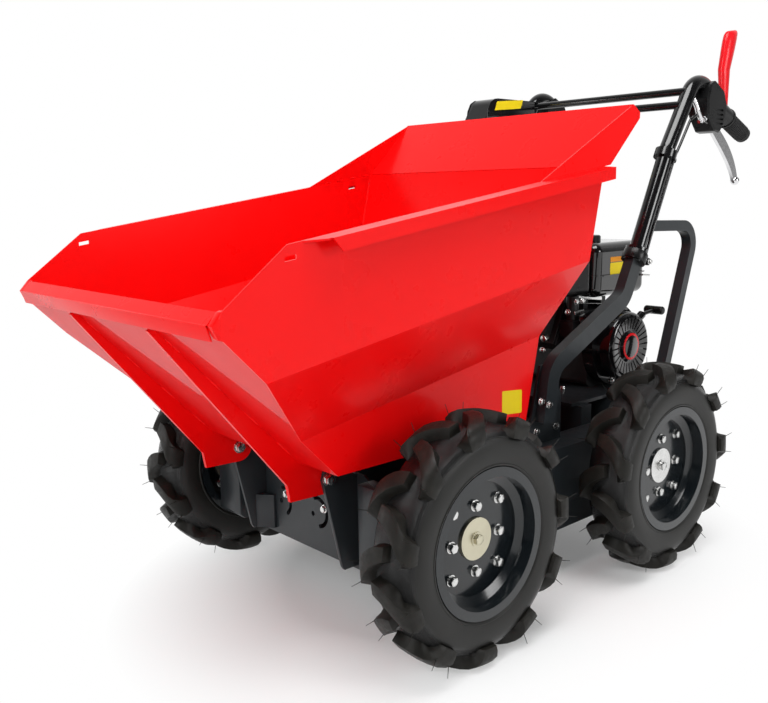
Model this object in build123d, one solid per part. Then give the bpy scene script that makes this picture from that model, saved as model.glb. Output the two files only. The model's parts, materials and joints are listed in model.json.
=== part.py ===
from build123d import *
from math import cos, hypot, radians, sin, sqrt
import os

# Walk-behind four-wheel site dumper with a forward-tipping steel skip.
# Millimetres. +X points forward over the skip's lip, +Y to the machine's left, +Z up, ground at zero.
# Every station below is measured from the middle of the wheelbase. The whole machine is moved
# forward by middle_x and up to stand on its tyres at the end, so that the origin is on the ground
# under the middle of its length.

# Overall reach
lip_reach = 828.0
grip_reach = 929.5
middle_x = (grip_reach - lip_reach) / 2

# Wheels
half_wheelbase = 315.0
track_y = 381.0
axle_z = 232.0
tyre_radius = 236.0
tyre_half_width = 60.0
tyre_shoulder = 22.0
ground_z = axle_z - tyre_radius
flange_radius = 142.0
bead_radius = 128.0
rim_half_width = 49.0
rim_sheet = 4.0
well_radius = 108.0
disc_outset = 2.0
disc_thickness = 6.0
hub_radius = 78.0
hub_flange_thickness = 8.0
hub_plate_radius = 40.0
hub_plate_thickness = 5.0
shaft_radius = 14.0
running_gap = 0.3

# Skip, outer faces
sheet = 3.0
seam = 0.1
skip_half_width = 360.5
skip_low_half_width = 264.4
skip_bottom_z = 370.6
rim_height = 888.1
rim_slope = 0.15
fold_slope = 0.165
upper_fold_z = 704.0
lower_fold_z = 549.0
floor_front_x = 531.5
floor_run = 0.98
floor_rear_x = 16.9
rear_lean = 0.23
lip_low_z = 660.0
lip_half_width = 347.0
lip_inner = (809.9, 695.2)
lip_tip = (827.8, 676.3)
front_corner_x = 692.9
guard_start_x = 99.0
guard_top = (-230.0, 1034.0)
guard_half_width = 345.0
rim_flange_width = 28.0
rim_flange_fall = 2.0
rim_flange_drop = 24.0
rim_flange_front_x = 666.0
rim_flange_full_x = 630.0
wing_overhang = 22.0
wing_tip = (-251.0, 1018.0)
wing_tip_drop = 12.0
slot_length = 22.0
slot_height = 7.0
slot_below_rim = 21.0
slot_front_x = 688.0
slot_rear_x = -38.0

# Rib plates under the skip and the pivot they carry
rib_y = 147.0
rib_thickness = 8.0
rib_top_z = 654.0
rib_top_depth = 10.0
rib_nose = (559.0, 332.0)
rib_toe = (553.0, 299.0)
rib_eye_radius = 32.0
pivot_x = 472.0
pivot_z = 328.0
pivot_radius = 9.0
pivot_head_radius = 14.0
pivot_head_thickness = 9.0
lug_gap = 8.0
lug_thickness = 8.0
lug_radius = 24.0

# Chassis
case_inner_y = 204.0
case_outer_y = 287.0
case_low_z = 112.0
case_top_z = 300.0
case_front_x = 398.0
case_rear_x = -470.0
plate_thickness = 6.0
front_plate_x = 400.0
front_plate_top_z = 322.0
front_hole_radius = 5.5
front_holes = [(-97.0, 202.0), (15.0, 202.0)]
tension_slot_width = 9.0
tension_slots = [
    ((-92.0, 233.0), (-64.0, 208.0), (-75.0, 179.0)),
    ((22.0, 238.0), (60.0, 218.0), (38.0, 180.0)),
]
bearing_radius = 34.0
bearing_flange_radius = 52.0
bearing_reach = 328.0
belly_z = 124.0
upright_y = 232.0
upright_top_z = 478.0
deck_z = 346.0
deck_front_x = -250.0
deck_rear_x = -640.0
deck_half_width = 190.0
deck_thickness = 8.0
foot_height = 52.0

# Handlebars
handle_y = 245.0
flat_tube_depth = 40.0
flat_tube_width = 25.0
bar_radius = 19.0
bar_bend = 60.0
cross_radius = 9.5
cross_high = (-617.0, 1094.0)
cross_low = (-592.0, 1060.0)
clamp_point = (-412.0, 698.0)
bar_collar = (-540.0, 955.0)
bar_top = (-668.0, 1150.0)
grip_start = (-764.0, 1062.0)
grip_fall = 22.0
bar_end_reach = 166.0
grip_length = 104.0
grip_root = bar_end_reach + 4 - grip_length
grip_radius = 21.0
grip_flange_radius = 27.0
grip_flange_thickness = 5.0
brace_size = 26.0
brace_y = 245.0
brace_join = (-450.0, 770.0)
brace_corner = (-682.0, 764.0)
brace_foot_x = -538.0
console_width = 74.0
housing_inner_y = 222.0
perch_radius = 25.0
housing_outer_y = 276.0
lever_thickness = 9.0
cable_radius = 3.5
cable_outset = 17.5
clamp_wall = 8.0

# Engine
crank_x = -505.0
crank_z = 461.0
recoil_y = 185.0
recoil_depth = 45.0
recoil_radius = 88.0
recoil_edge = 14.0
recoil_boss_radius = 36.0
louvre_count = 28
louvre_width = 4.0
louvre_depth = 7.0
blower_radius = 104.0
blower_y = 108.0
cylinder_lean = 25.0
fin_count = 7
fin_pitch = 10.0
fin_thickness = 4.0
head_half_width = 62.0
cylinder_y_centre = -5.0
carburettor_x = -400.0
filter_low_z = 592.0
rope_y = 165.0
rope_start = (-583.0, rope_y, 534.0)
rope_outlet_radius = 11.0
tank_x = (-700.0, -468.0)
tank_y = (-90.0, 100.0)
tank_low_z = 580.0
tank_seam_z = 636.0
tank_top_z = 722.0
tank_corner = 24.0


def closed(points):
    return make_face(Polyline(points, close=True))


def seen_from_side(points, y_low, y_high):
    # A prism whose outline is given as (x, z) points.
    return extrude(Plane.XZ.offset(-y_high) * closed(points), y_high - y_low)


def seen_from_front(points, x_low, x_high):
    # A prism whose outline is given as (y, z) points.
    return extrude(Plane.YZ.offset(x_low) * closed(points), x_high - x_low)


def seen_from_above(points, z_low, z_high):
    # A prism whose outline is given as (x, y) points.
    return extrude(Plane.XY.offset(z_low) * closed(points), z_high - z_low)


def block(x_range, y_range, z_range):
    size = [high - low for low, high in (x_range, y_range, z_range)]
    centre = [(high + low) / 2 for low, high in (x_range, y_range, z_range)]
    return Pos(*centre) * Box(*size)


def beside(points, distance):
    # The same open line moved sideways to its left by a distance, with mitred corners.
    moved = []
    for i, (x, y) in enumerate(points):
        directions = []
        for a, b in ((i - 1, i), (i, i + 1)):
            if a >= 0 and b < len(points):
                dx = points[b][0] - points[a][0]
                dy = points[b][1] - points[a][1]
                length = hypot(dx, dy)
                directions.append((dx / length, dy / length))
        mean_x = sum(d[0] for d in directions)
        mean_y = sum(d[1] for d in directions)
        size = hypot(mean_x, mean_y)
        mean_x, mean_y = mean_x / size, mean_y / size
        reach = distance / (mean_x * directions[0][0] + mean_y * directions[0][1])
        moved.append((x - mean_y * reach, y + mean_x * reach))
    return moved


def bent_sheet(points, thickness):
    # The section of a folded sheet: the line given, and the line a thickness to its left.
    return points + beside(points, thickness)[::-1]


def cylinder_y(x, z, y_low, y_high, radius):
    return Pos(x, (y_low + y_high) / 2, z) * Rot(X=90) * Cylinder(radius, y_high - y_low)


def spun_section(face, x, z):
    # A turned form: a face drawn with radius across and Y up, revolved about an axis along Y.
    placed = Plane(origin=(x, 0, z), x_dir=(1, 0, 0), z_dir=(0, 0, 1)) * face
    return revolve(placed, Axis((x, 0, z), (0, 1, 0)))


def spun_about_y(points, x, z):
    return spun_section(closed(points), x, z)


def mirrored(shape):
    return mirror(shape, about=Plane.XZ)


def both_sides(shape):
    return shape + mirrored(shape)


def rim_z(x):
    return rim_height - rim_slope * x


def floor_front(z):
    return floor_front_x + (z - skip_bottom_z) * floor_run


def rear_wall_x(z):
    return floor_rear_x - (z - skip_bottom_z) * rear_lean


def rear_rim_point():
    # Where the rear wall meets the sloping rim.
    z = (rim_height - rim_slope * (floor_rear_x + rear_lean * skip_bottom_z)) / (1 - rim_slope * rear_lean)
    return rear_wall_x(z), z


# Skip
skip_far = 1000.0


def side_line():
    # The skip's side seen from the front at the middle of the wheelbase, from the bottom up.
    return [
        (skip_low_half_width, 0),
        (skip_low_half_width, lower_fold_z),
        (skip_half_width, upper_fold_z),
        (skip_half_width, 2 * skip_far),
    ]


def along_folds(section):
    # A prism that follows the folds of the side panels, which rise towards the rear.
    profile = Plane.YZ.offset(-skip_far) * Pos(0, fold_slope * skip_far) * closed(section)
    length = 2 * skip_far * sqrt(1 + fold_slope ** 2)
    return extrude(profile, length, dir=(1, 0, -fold_slope))


def skip_inside():
    inner = beside(side_line(), sheet)
    return along_folds(inner + [(-y, z) for y, z in inner[::-1]])


def skip_outline():
    return [
        (front_corner_x, rim_z(front_corner_x)),
        lip_inner,
        (floor_front(lip_low_z), lip_low_z),
        (floor_front_x, skip_bottom_z),
        (floor_rear_x, skip_bottom_z),
        rear_rim_point(),
    ]


def rim_slot(x):
    # A lifting slot through a side panel, in line with the rim.
    along = slot_length / 2
    centre_z = rim_z(x) - slot_below_rim
    outline = [
        (x + dx, centre_z - rim_slope * dx + dz)
        for dx, dz in (
            (-along, -slot_height / 2),
            (along, -slot_height / 2),
            (along, slot_height / 2),
            (-along, slot_height / 2),
        )
    ]
    return seen_from_side(outline, 0, skip_far)


def skip_side():
    panel = along_folds(bent_sheet(side_line(), sheet))
    panel &= seen_from_side(skip_outline(), 0, skip_far)
    return panel - rim_slot(slot_front_x) - rim_slot(slot_rear_x)


def skip_floor():
    # The flat bottom stops at the rear wall, which stands on the same level.
    rear_x = rear_wall_x(skip_bottom_z) + sheet * hypot(1, rear_lean) + seam
    line = [(floor_front(lip_low_z), lip_low_z), (floor_front_x, skip_bottom_z), (rear_x, skip_bottom_z)]
    sheet_section = line + beside(line, -sheet)[::-1]
    return seen_from_side(sheet_section, -skip_far, skip_far) & skip_inside()


def skip_rear_wall():
    line = [(rear_wall_x(skip_bottom_z), skip_bottom_z), rear_rim_point()]
    section = line + beside(line, -sheet)[::-1]
    above_ground = block((-skip_far, skip_far), (-skip_far, skip_far), (skip_bottom_z, 2 * skip_far))
    return seen_from_side(section, -skip_far, skip_far) & skip_inside() & above_ground


def skip_lip():
    # The front edge is folded forward and back under, as a narrow nose.
    line = [(floor_front(lip_low_z), lip_low_z), lip_tip, lip_inner]
    nose = seen_from_side(line + beside(line, sheet)[::-1], -lip_half_width, lip_half_width)
    return nose - seen_from_side(skip_outline(), -skip_far, skip_far)


def skip_rims():
    # The rim is folded outwards and down. Its front end is cut back in a long taper.
    rear_x, rear_z = rear_rim_point()
    edge_y = skip_half_width + rim_flange_width
    section = [
        (skip_half_width, 0),
        (edge_y, -rim_flange_fall),
        (edge_y, -rim_flange_fall - rim_flange_drop),
    ]
    flange = bent_sheet(section, -sheet)
    profile = Plane.YZ.offset(rear_x) * Pos(0, rear_z) * closed(flange)
    length = rim_flange_front_x - rear_x
    rail = extrude(profile, length * sqrt(1 + rim_slope ** 2), dir=(1, 0, -rim_slope))
    taper = [
        (rim_flange_front_x, skip_half_width),
        (rim_flange_full_x, edge_y + 1),
        (rim_flange_front_x + 10, edge_y + 1),
        (rim_flange_front_x + 10, skip_half_width),
    ]
    top_z = rim_z(rim_flange_full_x)
    corner = [
        (rim_flange_full_x + 1, top_z + 1),
        (rim_flange_full_x - rim_flange_drop, top_z - rim_flange_fall - rim_flange_drop),
        (rim_flange_full_x - rim_flange_drop, top_z - 2 * rim_flange_drop),
        (rim_flange_front_x + 10, top_z - 2 * rim_flange_drop),
        (rim_flange_front_x + 10, top_z + 1),
    ]
    rail -= seen_from_above(taper, 0, 2 * skip_far)
    rail -= seen_from_side(corner, edge_y - sheet - 1, edge_y + 1)
    return rail - seen_from_side(skip_outline(), 0, skip_half_width)


def skip_wing():
    # A leaning triangular side of the guard, from the rim up to the guard's top corner and a little past it.
    rear_x, rear_z = rear_rim_point()
    low_x = rear_x - wing_overhang
    lean = (skip_half_width - guard_half_width) / (guard_top[1] - rim_z(guard_top[0]))

    def on_panel(x, z):
        return (x, skip_half_width - lean * (z - rim_z(x)), z)

    corners = [
        on_panel(guard_start_x, rim_z(guard_start_x)),
        on_panel(*guard_top),
        on_panel(*wing_tip),
        on_panel(wing_tip[0] + 3, wing_tip[1] - wing_tip_drop),
        on_panel(low_x, rim_z(low_x)),
    ]
    return extrude(make_face(Polyline(corners, close=True)), sheet, dir=(0, -1, 0))


def skip_rear_guard():
    rear_x, rear_z = rear_rim_point()
    line = [(rear_x - seam, rear_z + seam), guard_top]
    plate = seen_from_side(line + beside(line, -sheet)[::-1], -skip_far, skip_far)
    low_y = skip_half_width - sheet / 2
    high_y = guard_half_width - sheet / 2
    low_z = rear_z + 2 * seam
    width = [(-low_y, low_z), (low_y, low_z), (high_y, guard_top[1]), (-high_y, guard_top[1])]
    plate &= seen_from_front(width, -skip_far, skip_far)
    wing = skip_wing()
    return plate + wing + mirrored(wing)


def skip_rib():
    # A plate welded on edge under the sloping floor, deeper towards its foot, which hangs on the pivot bolt.
    length = hypot(1, floor_run)
    out_x, out_z = rib_top_depth / length, -rib_top_depth * floor_run / length
    low_z = skip_bottom_z - seam
    outline = [
        (floor_front(rib_top_z) + seam, rib_top_z - seam),
        (floor_front(rib_top_z) + out_x, rib_top_z + out_z),
        rib_nose,
        rib_toe,
        (pivot_x, pivot_z - rib_eye_radius),
        (pivot_x, pivot_z),
        (pivot_x - rib_eye_radius, pivot_z),
        (pivot_x - rib_eye_radius, low_z),
        (floor_front_x + seam, low_z),
    ]
    low_y, high_y = rib_y - rib_thickness / 2, rib_y + rib_thickness / 2
    plate = seen_from_side(outline, low_y, high_y)
    plate += cylinder_y(pivot_x, pivot_z, low_y, high_y, rib_eye_radius)
    return plate - cylinder_y(pivot_x, pivot_z, low_y - 1, high_y + 1, pivot_radius + running_gap)


# Wheels
def tyre(x):
    # The outline over the tread bars, with bulged walls and rounded shoulders.
    seat = rim_half_width - rim_sheet
    foot = (flange_radius + 8, rim_half_width)
    bulge = (tyre_radius * 0.82, tyre_half_width)
    high = (tyre_radius - 14, tyre_half_width - 3)
    shoulder = (tyre_radius - 4, tyre_half_width - 9)
    crown = (tyre_radius, tyre_half_width - tyre_shoulder)
    half = make_face(
        [
            Polyline(crown, (tyre_radius, 0), (bead_radius, 0), (bead_radius, seat), (flange_radius + 1, seat), foot),
            ThreePointArc(foot, bulge, high),
            ThreePointArc(high, shoulder, crown),
        ]
    )
    return spun_section(Pos(0, track_y) * (half + mirror(half, about=Plane.XZ)), x, axle_z)


def rim(x):
    y = track_y
    outer = [
        (flange_radius, y - rim_half_width),
        (flange_radius, y - rim_half_width + rim_sheet),
        (bead_radius, y - rim_half_width + rim_sheet),
        (bead_radius, y - 22),
        (well_radius + rim_sheet, y - 14),
        (well_radius + rim_sheet, y + 14),
        (bead_radius, y + 22),
        (bead_radius, y + rim_half_width - rim_sheet),
        (flange_radius, y + rim_half_width - rim_sheet),
        (flange_radius, y + rim_half_width),
    ]
    inner = [
        (bead_radius - rim_sheet, y + rim_half_width),
        (bead_radius - rim_sheet, y + 22),
        (well_radius, y + 14),
        (well_radius, y - 14),
        (bead_radius - rim_sheet, y - 22),
        (bead_radius - rim_sheet, y - rim_half_width),
    ]
    barrel = spun_about_y(outer + inner, x, axle_z)
    disc_low = y + disc_outset
    disc = cylinder_y(x, axle_z, disc_low, disc_low + disc_thickness, well_radius)
    bore = cylinder_y(x, axle_z, disc_low - 1, disc_low + disc_thickness + 1, shaft_radius + 6)
    return barrel + disc - bore


def hub(x):
    disc_low = track_y + disc_outset
    disc_high = disc_low + disc_thickness
    shaft = cylinder_y(x, axle_z, case_outer_y - 30, disc_low, shaft_radius)
    flange = cylinder_y(x, axle_z, disc_low - hub_flange_thickness, disc_low, hub_radius)
    nose = cylinder_y(x, axle_z, disc_low, disc_high, shaft_radius + 6)
    plate = cylinder_y(x, axle_z, disc_high, disc_high + hub_plate_thickness, hub_plate_radius)
    return shaft + flange + nose + plate


# Chassis
def side_case():
    outline = [
        (case_front_x, case_low_z + 20),
        (case_front_x, case_top_z),
        (case_rear_x, case_top_z),
        (case_rear_x, case_low_z + 60),
        (case_rear_x + 60, case_low_z),
        (case_front_x - 60, case_low_z),
    ]
    case = seen_from_side(outline, case_inner_y, case_outer_y)
    for x in (half_wheelbase, -half_wheelbase):
        case += cylinder_y(x, axle_z, case_outer_y, bearing_reach, bearing_radius)
        case += cylinder_y(x, axle_z, case_outer_y, case_outer_y + 8, bearing_flange_radius)
        case -= cylinder_y(x, axle_z, case_outer_y - 32, bearing_reach + 1, shaft_radius + running_gap)
    return case


def curved_slot(start, middle, end, width):
    return SlotArc(arc=ThreePointArc(start, middle, end), height=width)


def front_plate():
    outline = [
        (-case_inner_y, belly_z),
        (case_inner_y, belly_z),
        (case_inner_y, front_plate_top_z - 14),
        (case_inner_y - 24, front_plate_top_z),
        (-case_inner_y + 24, front_plate_top_z),
        (-case_inner_y, front_plate_top_z - 14),
    ]
    plate = seen_from_front(outline, front_plate_x - plate_thickness, front_plate_x)
    face = Plane.YZ.offset(front_plate_x - plate_thickness - 1)
    cuts = [face * curved_slot(*slot, tension_slot_width) for slot in tension_slots]
    cuts += [face * Pos(y, z) * Circle(front_hole_radius) for y, z in front_holes]
    for cut in cuts:
        plate -= extrude(cut, plate_thickness + 2)
    return plate


def lug_spans():
    # The two plates of a pivot fork, one each side of a rib plate.
    inner = rib_y - rib_thickness / 2 - lug_gap
    outer = rib_y + rib_thickness / 2 + lug_gap
    return [(inner - lug_thickness, inner), (outer, outer + lug_thickness)]


def pivot_bracket():
    # A fork of two tapered gussets welded to the front plate, joined by a web below the rib's sweep.
    root_x = front_plate_x + seam
    outline = [
        (root_x, belly_z + 10),
        (root_x, front_plate_top_z),
        (pivot_x - 26, pivot_z + lug_radius - 3),
        (pivot_x, pivot_z + lug_radius - 2),
        (pivot_x + lug_radius - 2, pivot_z),
        (root_x + 14, belly_z + 10),
    ]
    fork = None
    for low_y, high_y in lug_spans():
        plate = seen_from_side(outline, low_y, high_y)
        plate += cylinder_y(pivot_x, pivot_z, low_y, high_y, lug_radius)
        plate -= cylinder_y(pivot_x, pivot_z, low_y - 1, high_y + 1, pivot_radius + running_gap)
        fork = plate if fork is None else fork + plate
    web = block((root_x, root_x + 12), (lug_spans()[0][0], lug_spans()[1][1]), (belly_z + 10, 218))
    return fork + web


def pivot_bolt():
    low_y = lug_spans()[0][0] - seam
    high_y = lug_spans()[1][1] + seam
    ends = (low_y - pivot_head_thickness, high_y + pivot_head_thickness)
    shank = cylinder_y(pivot_x, pivot_z, *ends, pivot_radius)
    for start in (low_y - pivot_head_thickness, high_y):
        hexagon = Plane.XZ.offset(-start - pivot_head_thickness) * Pos(pivot_x, pivot_z) * RegularPolygon(
            pivot_head_radius, 6
        )
        shank += extrude(hexagon, pivot_head_thickness)
    return shank


def belly():
    x_range = (case_rear_x + 20, front_plate_x - plate_thickness)
    return block(x_range, (-case_inner_y, case_inner_y), (belly_z, belly_z + plate_thickness))


def upright():
    outline = [
        (-28, case_top_z),
        (-150, case_top_z),
        (-150, 400),
        (-128, 440),
        (-92, upright_top_z),
        (-72, upright_top_z),
    ]
    plate = seen_from_side(outline, upright_y - plate_thickness, upright_y)
    return plate


def engine_deck():
    # A plate on two beams between the side cases, with an ear each side for the rear braces.
    top_z = deck_z + deck_thickness
    deck = block((deck_rear_x, deck_front_x), (-deck_half_width, deck_half_width), (deck_z, top_z))
    beam_y = case_inner_y - seam
    for x in (deck_front_x - 40, deck_rear_x + 220):
        deck += block((x - 20, x + 20), (-beam_y, beam_y), (case_top_z - 50, deck_z))
    ear_y = brace_y + brace_size / 2 + 4
    ear_x = (brace_foot_x - brace_size, brace_foot_x + brace_size)
    deck += block(ear_x, (-ear_y, ear_y), (deck_z, top_z))
    return deck


def gearbox():
    case = block((-240, -60), (-110, 110), (belly_z + plate_thickness, case_top_z))
    return fillet(case.edges().filter_by(Axis.Z), 18)


# Engine
def engine_block():
    # The crankcase, on the deck, with two posts that carry the tank.
    case = block((crank_x - 90, crank_x + 80), (-115, blower_y), (deck_z + deck_thickness, tank_low_z - 32))
    case = fillet(case.edges().filter_by(Axis.Y), 16)
    for x in (crank_x - 66, crank_x + 14):
        case += block((x, x + 20), (-60, 60), (tank_low_z - 32, tank_low_z))
    return case


def on_cylinder(shape):
    # Carries a shape drawn along +X from the crankshaft onto the leaning cylinder.
    return Pos(crank_x, cylinder_y_centre, crank_z) * Rot(Y=-cylinder_lean) * shape


def engine_head():
    # The finned cylinder, which leans forward, and its rocker cover.
    head = block((70, 152), (-45, 45), (-42, 42))
    for i in range(fin_count):
        start = 84 + i * fin_pitch
        head += block((start, start + fin_thickness), (-head_half_width, head_half_width), (-56, 56))
    cover = block((152, 176), (-50, 50), (-46, 46))
    head += fillet(cover.edges().filter_by(Axis.X), 12)
    return on_cylinder(head) - engine_block()


def carburettor():
    # The body beside the cylinder, its float bowl below and the elbow up to the air filter.
    low_y = cylinder_y_centre + head_half_width + seam
    middle_y = low_y + 20
    body = block((carburettor_x - 24, carburettor_x + 24), (low_y, low_y + 40), (488, 530))
    bowl = Pos(carburettor_x, middle_y, 478) * Cylinder(18, 22)
    elbow = Pos(carburettor_x, middle_y, (530 + filter_low_z) / 2) * Cylinder(16, filter_low_z - 530)
    return body + bowl + elbow


def scroll(radius, y_low, y_high):
    # The fan's casing: a drum whose front opens into a duct towards the cylinder.
    drum = cylinder_y(crank_x, crank_z, y_low, y_high, radius)
    duct = [
        (crank_x, crank_z),
        (crank_x + radius, crank_z),
        (crank_x + radius + 16, crank_z + 84),
        (crank_x, crank_z + radius),
    ]
    return drum + seen_from_side(duct, y_low, y_high)


def blower_housing():
    return scroll(blower_radius, blower_y, recoil_y - recoil_depth)


def recoil_starter():
    # A dished cover with radial louvres round a plain centre, and the rope's outlet at its upper rear.
    back = recoil_y - recoil_depth
    edge = (recoil_radius, recoil_y - recoil_edge)
    corner_reach = recoil_edge * (1 - sqrt(0.5))
    corner = (recoil_radius - corner_reach, recoil_y - corner_reach)
    top = (recoil_radius - recoil_edge, recoil_y)
    dish = (recoil_boss_radius + 6, recoil_y - 5)
    boss = (recoil_boss_radius, recoil_y)
    outline = Polyline(top, dish, boss, (0, recoil_y), (0, back), (recoil_radius, back), edge)
    section = make_face([outline, ThreePointArc(edge, corner, top)])
    cover = spun_section(section, crank_x, crank_z)
    slot_depth = (recoil_y - louvre_depth, recoil_y + 1)
    louvre = block((recoil_boss_radius + 9, recoil_radius - 8), slot_depth, (-louvre_width / 2, louvre_width / 2))
    turns = [i * 360 / louvre_count for i in range(louvre_count)]
    cover -= [Pos(crank_x, 0, crank_z) * Rot(Y=turn) * louvre for turn in turns]
    outlet = between((crank_x - 40, rope_y, crank_z + 52), rope_start, rope_outlet_radius)
    return cover + outlet


def starter_handle():
    # The pull handle's bar on its stem, drawn up against the rope's outlet.
    x, y, z = rope_start
    stem = between((x - running_gap, y, z), (x - 58, y, z + 6), 5)
    bar = cylinder_y(x - 60, z + 6, y - 28, y + 28, 11)
    return stem + fillet(bar.edges(), 6) - recoil_starter()


def fuel_tank():
    # Two pressed halves with a flange where they meet, below the middle.
    shell = block(tank_x, tank_y, (tank_low_z, tank_top_z))
    shell = fillet(shell.edges(), tank_corner)
    lip = 6
    wide_x = (tank_x[0] - lip, tank_x[1] + lip)
    wide_y = (tank_y[0] - lip, tank_y[1] + lip)
    flange = block(wide_x, wide_y, (tank_seam_z, tank_seam_z + 3))
    return shell + fillet(flange.edges().filter_by(Axis.Z), tank_corner + lip)


def fuel_cap():
    foot = tank_top_z + seam
    cap = Pos(-525, 40, foot + 9) * Cylinder(26, 18)
    return fillet(cap.edges().group_by(Axis.Z)[-1], 5)


def air_filter():
    cover = block((-455, -335), (-70, 96), (filter_low_z, 690))
    return fillet(cover.edges(), 18)


def muffler():
    # A pressed box at the engine's right, on a short pipe from the head.
    box = block((-470, -350), (-190, -128), (462, 540))
    pipe_end = cylinder_y_centre - head_half_width
    pipe = cylinder_y(-400, 500, -128, pipe_end - seam, 15)
    return fillet(box.edges(), 16) + pipe


# Handlebars
def bar_direction():
    # The lower stretch of the bar, from the clamp to the collar.
    dx, dz = bar_collar[0] - clamp_point[0], bar_collar[1] - clamp_point[1]
    length = hypot(dx, dz)
    return dx / length, dz / length


def along_bar(distance, behind=0.0):
    # A point on the bar's lower stretch, measured from the clamp, and a distance behind its middle.
    dx, dz = bar_direction()
    return clamp_point[0] + dx * distance - dz * behind, clamp_point[1] + dz * distance + dx * behind


def flat_path():
    foot = (-75, case_top_z + foot_height)
    flat_end = along_bar(-10 * seam)
    points = [foot, (-92, 474), (-363, 603), flat_end]
    return FilletPolyline([(x, handle_y, z) for x, z in points], radius=60)


def handle_lower():
    path = flat_path()
    start = Plane(origin=path @ 0, x_dir=(0, 1, 0), z_dir=path % 0)
    outer = sweep(start * Rectangle(flat_tube_width, flat_tube_depth), path=path)
    return outer


def grip_point(distance):
    # A point on the bar's end stretch, measured from where the grip starts.
    fall = radians(grip_fall)
    return grip_start[0] - distance * cos(fall), grip_start[1] - distance * sin(fall)


def bar_path():
    points = [clamp_point, bar_collar, bar_top, grip_point(0), grip_point(bar_end_reach)]
    return FilletPolyline([(x, handle_y, z) for x, z in points], radius=bar_bend)


def handle_upper():
    path = bar_path()
    start = Plane(origin=path @ 0, z_dir=path % 0)
    return sweep(start * Circle(bar_radius), path=path)


def between(a, b, radius):
    path = Line(a, b)
    return sweep(Plane(origin=path @ 0, z_dir=path % 0) * Circle(radius), path=path)


def cross_tubes():
    tubes = [between((x, -handle_y, z), (x, handle_y, z), cross_radius) for x, z in (cross_high, cross_low)]
    return tubes[0] + tubes[1] - both_sides(handle_upper())


def rear_brace():
    deck_top_z = deck_z + deck_thickness + seam
    points = [brace_join, brace_corner, (brace_foot_x, deck_z)]
    path = FilletPolyline([(x, brace_y, z) for x, z in points], radius=50)
    start = Plane(origin=path @ 0, x_dir=(0, 1, 0), z_dir=path % 0)
    brace = sweep(start * Rectangle(brace_size, brace_size), path=path)
    gusset = [along_bar(18), along_bar(78), (brace_join[0] - 76, brace_join[1] + 9)]
    brace += seen_from_side(gusset, brace_y - 3, brace_y + 3)
    around_foot = (brace_foot_x - 60, brace_foot_x + 60)
    below_deck = block(around_foot, (brace_y - 60, brace_y + 60), (0, deck_top_z))
    return brace - handle_upper() - below_deck


def handle_clamp():
    # The clamp round the splice of the two tubes, with its knob, and the collar that holds the cable.
    pieces = []
    for distance, length in ((4, 34), (bar_collar_distance(), 20)):
        low = along_bar(distance - length / 2)
        high = along_bar(distance + length / 2)
        ring = between((low[0], handle_y, low[1]), (high[0], handle_y, high[1]), bar_radius + clamp_wall)
        x, z = along_bar(distance, bar_radius + clamp_wall)
        ring += cylinder_y(x, z, handle_y - 12, handle_y + 12, clamp_wall)
        pieces.append(ring - handle_upper() - handle_lower() - control_cable())
    return pieces[0] + pieces[1]


def bar_collar_distance():
    return hypot(bar_collar[0] - clamp_point[0], bar_collar[1] - clamp_point[1]) - 18


def grip_axis(start, end, radius):
    (x1, z1), (x2, z2) = grip_point(start), grip_point(end)
    return between((x1, handle_y, z1), (x2, handle_y, z2), radius)


def grip():
    # A rubber sleeve with a thumb flange at its root, closed over the bar's end.
    sleeve = grip_axis(grip_root, grip_root + grip_length, grip_radius)
    flange = grip_axis(grip_root - grip_flange_thickness, grip_root, grip_flange_radius)
    return sleeve + flange - handle_upper()


def lever_housing():
    # The moulded housing round the bar's bend, ribbed on its outer face, and the lever's perch behind it.
    outline = [
        (-672, 1080),
        (-684, 1112),
        (-708, 1124),
        (-752, 1102),
        (-770, 1066),
        (-756, 1016),
        (-738, 996),
        (-712, 1000),
        (-676, 1038),
    ]
    section = Plane.XZ.offset(-housing_outer_y) * fillet(closed(outline).vertices(), 9)
    housing = extrude(section, housing_outer_y - housing_inner_y)
    housing = chamfer(housing.faces().sort_by(Axis.Y)[-1].edges(), 4)
    for i in range(4):
        z = 1052 - 11 * i
        housing -= block((-750, -716), (housing_outer_y - 4, housing_outer_y + 1), (z - 2.5, z + 2.5))
    perch_end = grip_root - grip_flange_thickness - seam
    housing += grip_axis(0, perch_end, perch_radius)
    return housing - handle_upper() - control_cable()


def steering_lever():
    # A cast hand lever below the grip, curved and tapered, with a ball at its tip.
    front = Spline((-738, 1008), (-790, 967), (-836, 928), (-880, 874))
    rear = Spline((-897, 880), (-866, 938), (-824, 980), (-764, 1020))
    face = make_face([front, Line((-880, 874), (-897, 880)), rear, Line((-764, 1020), (-738, 1008))])
    lever = extrude(Plane.XZ.offset(-handle_y - lever_thickness / 2) * face, lever_thickness)
    tip = Pos(-891, handle_y, 877) * Sphere(12)
    return lever + tip - lever_housing()


def console():
    # A folded cover on the cross tubes beside the right handlebar, turned down at its front.
    top_z = cross_high[1] + cross_radius + sheet / 2
    points = [(cross_high[0] - 6, top_z), (-425, top_z), (-384, 1036)]
    middle_y = -handle_y + bar_radius + 12 - console_width / 2
    path = FilletPolyline([(x, middle_y, z) for x, z in points], radius=34)
    start = Plane(origin=path @ 0, x_dir=(0, 1, 0), z_dir=path % 0)
    cover = sweep(start * Rectangle(console_width, sheet), path=path)
    return cover - mirrored(handle_upper()) - cross_tubes() - mirrored(lever_housing())


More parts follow.
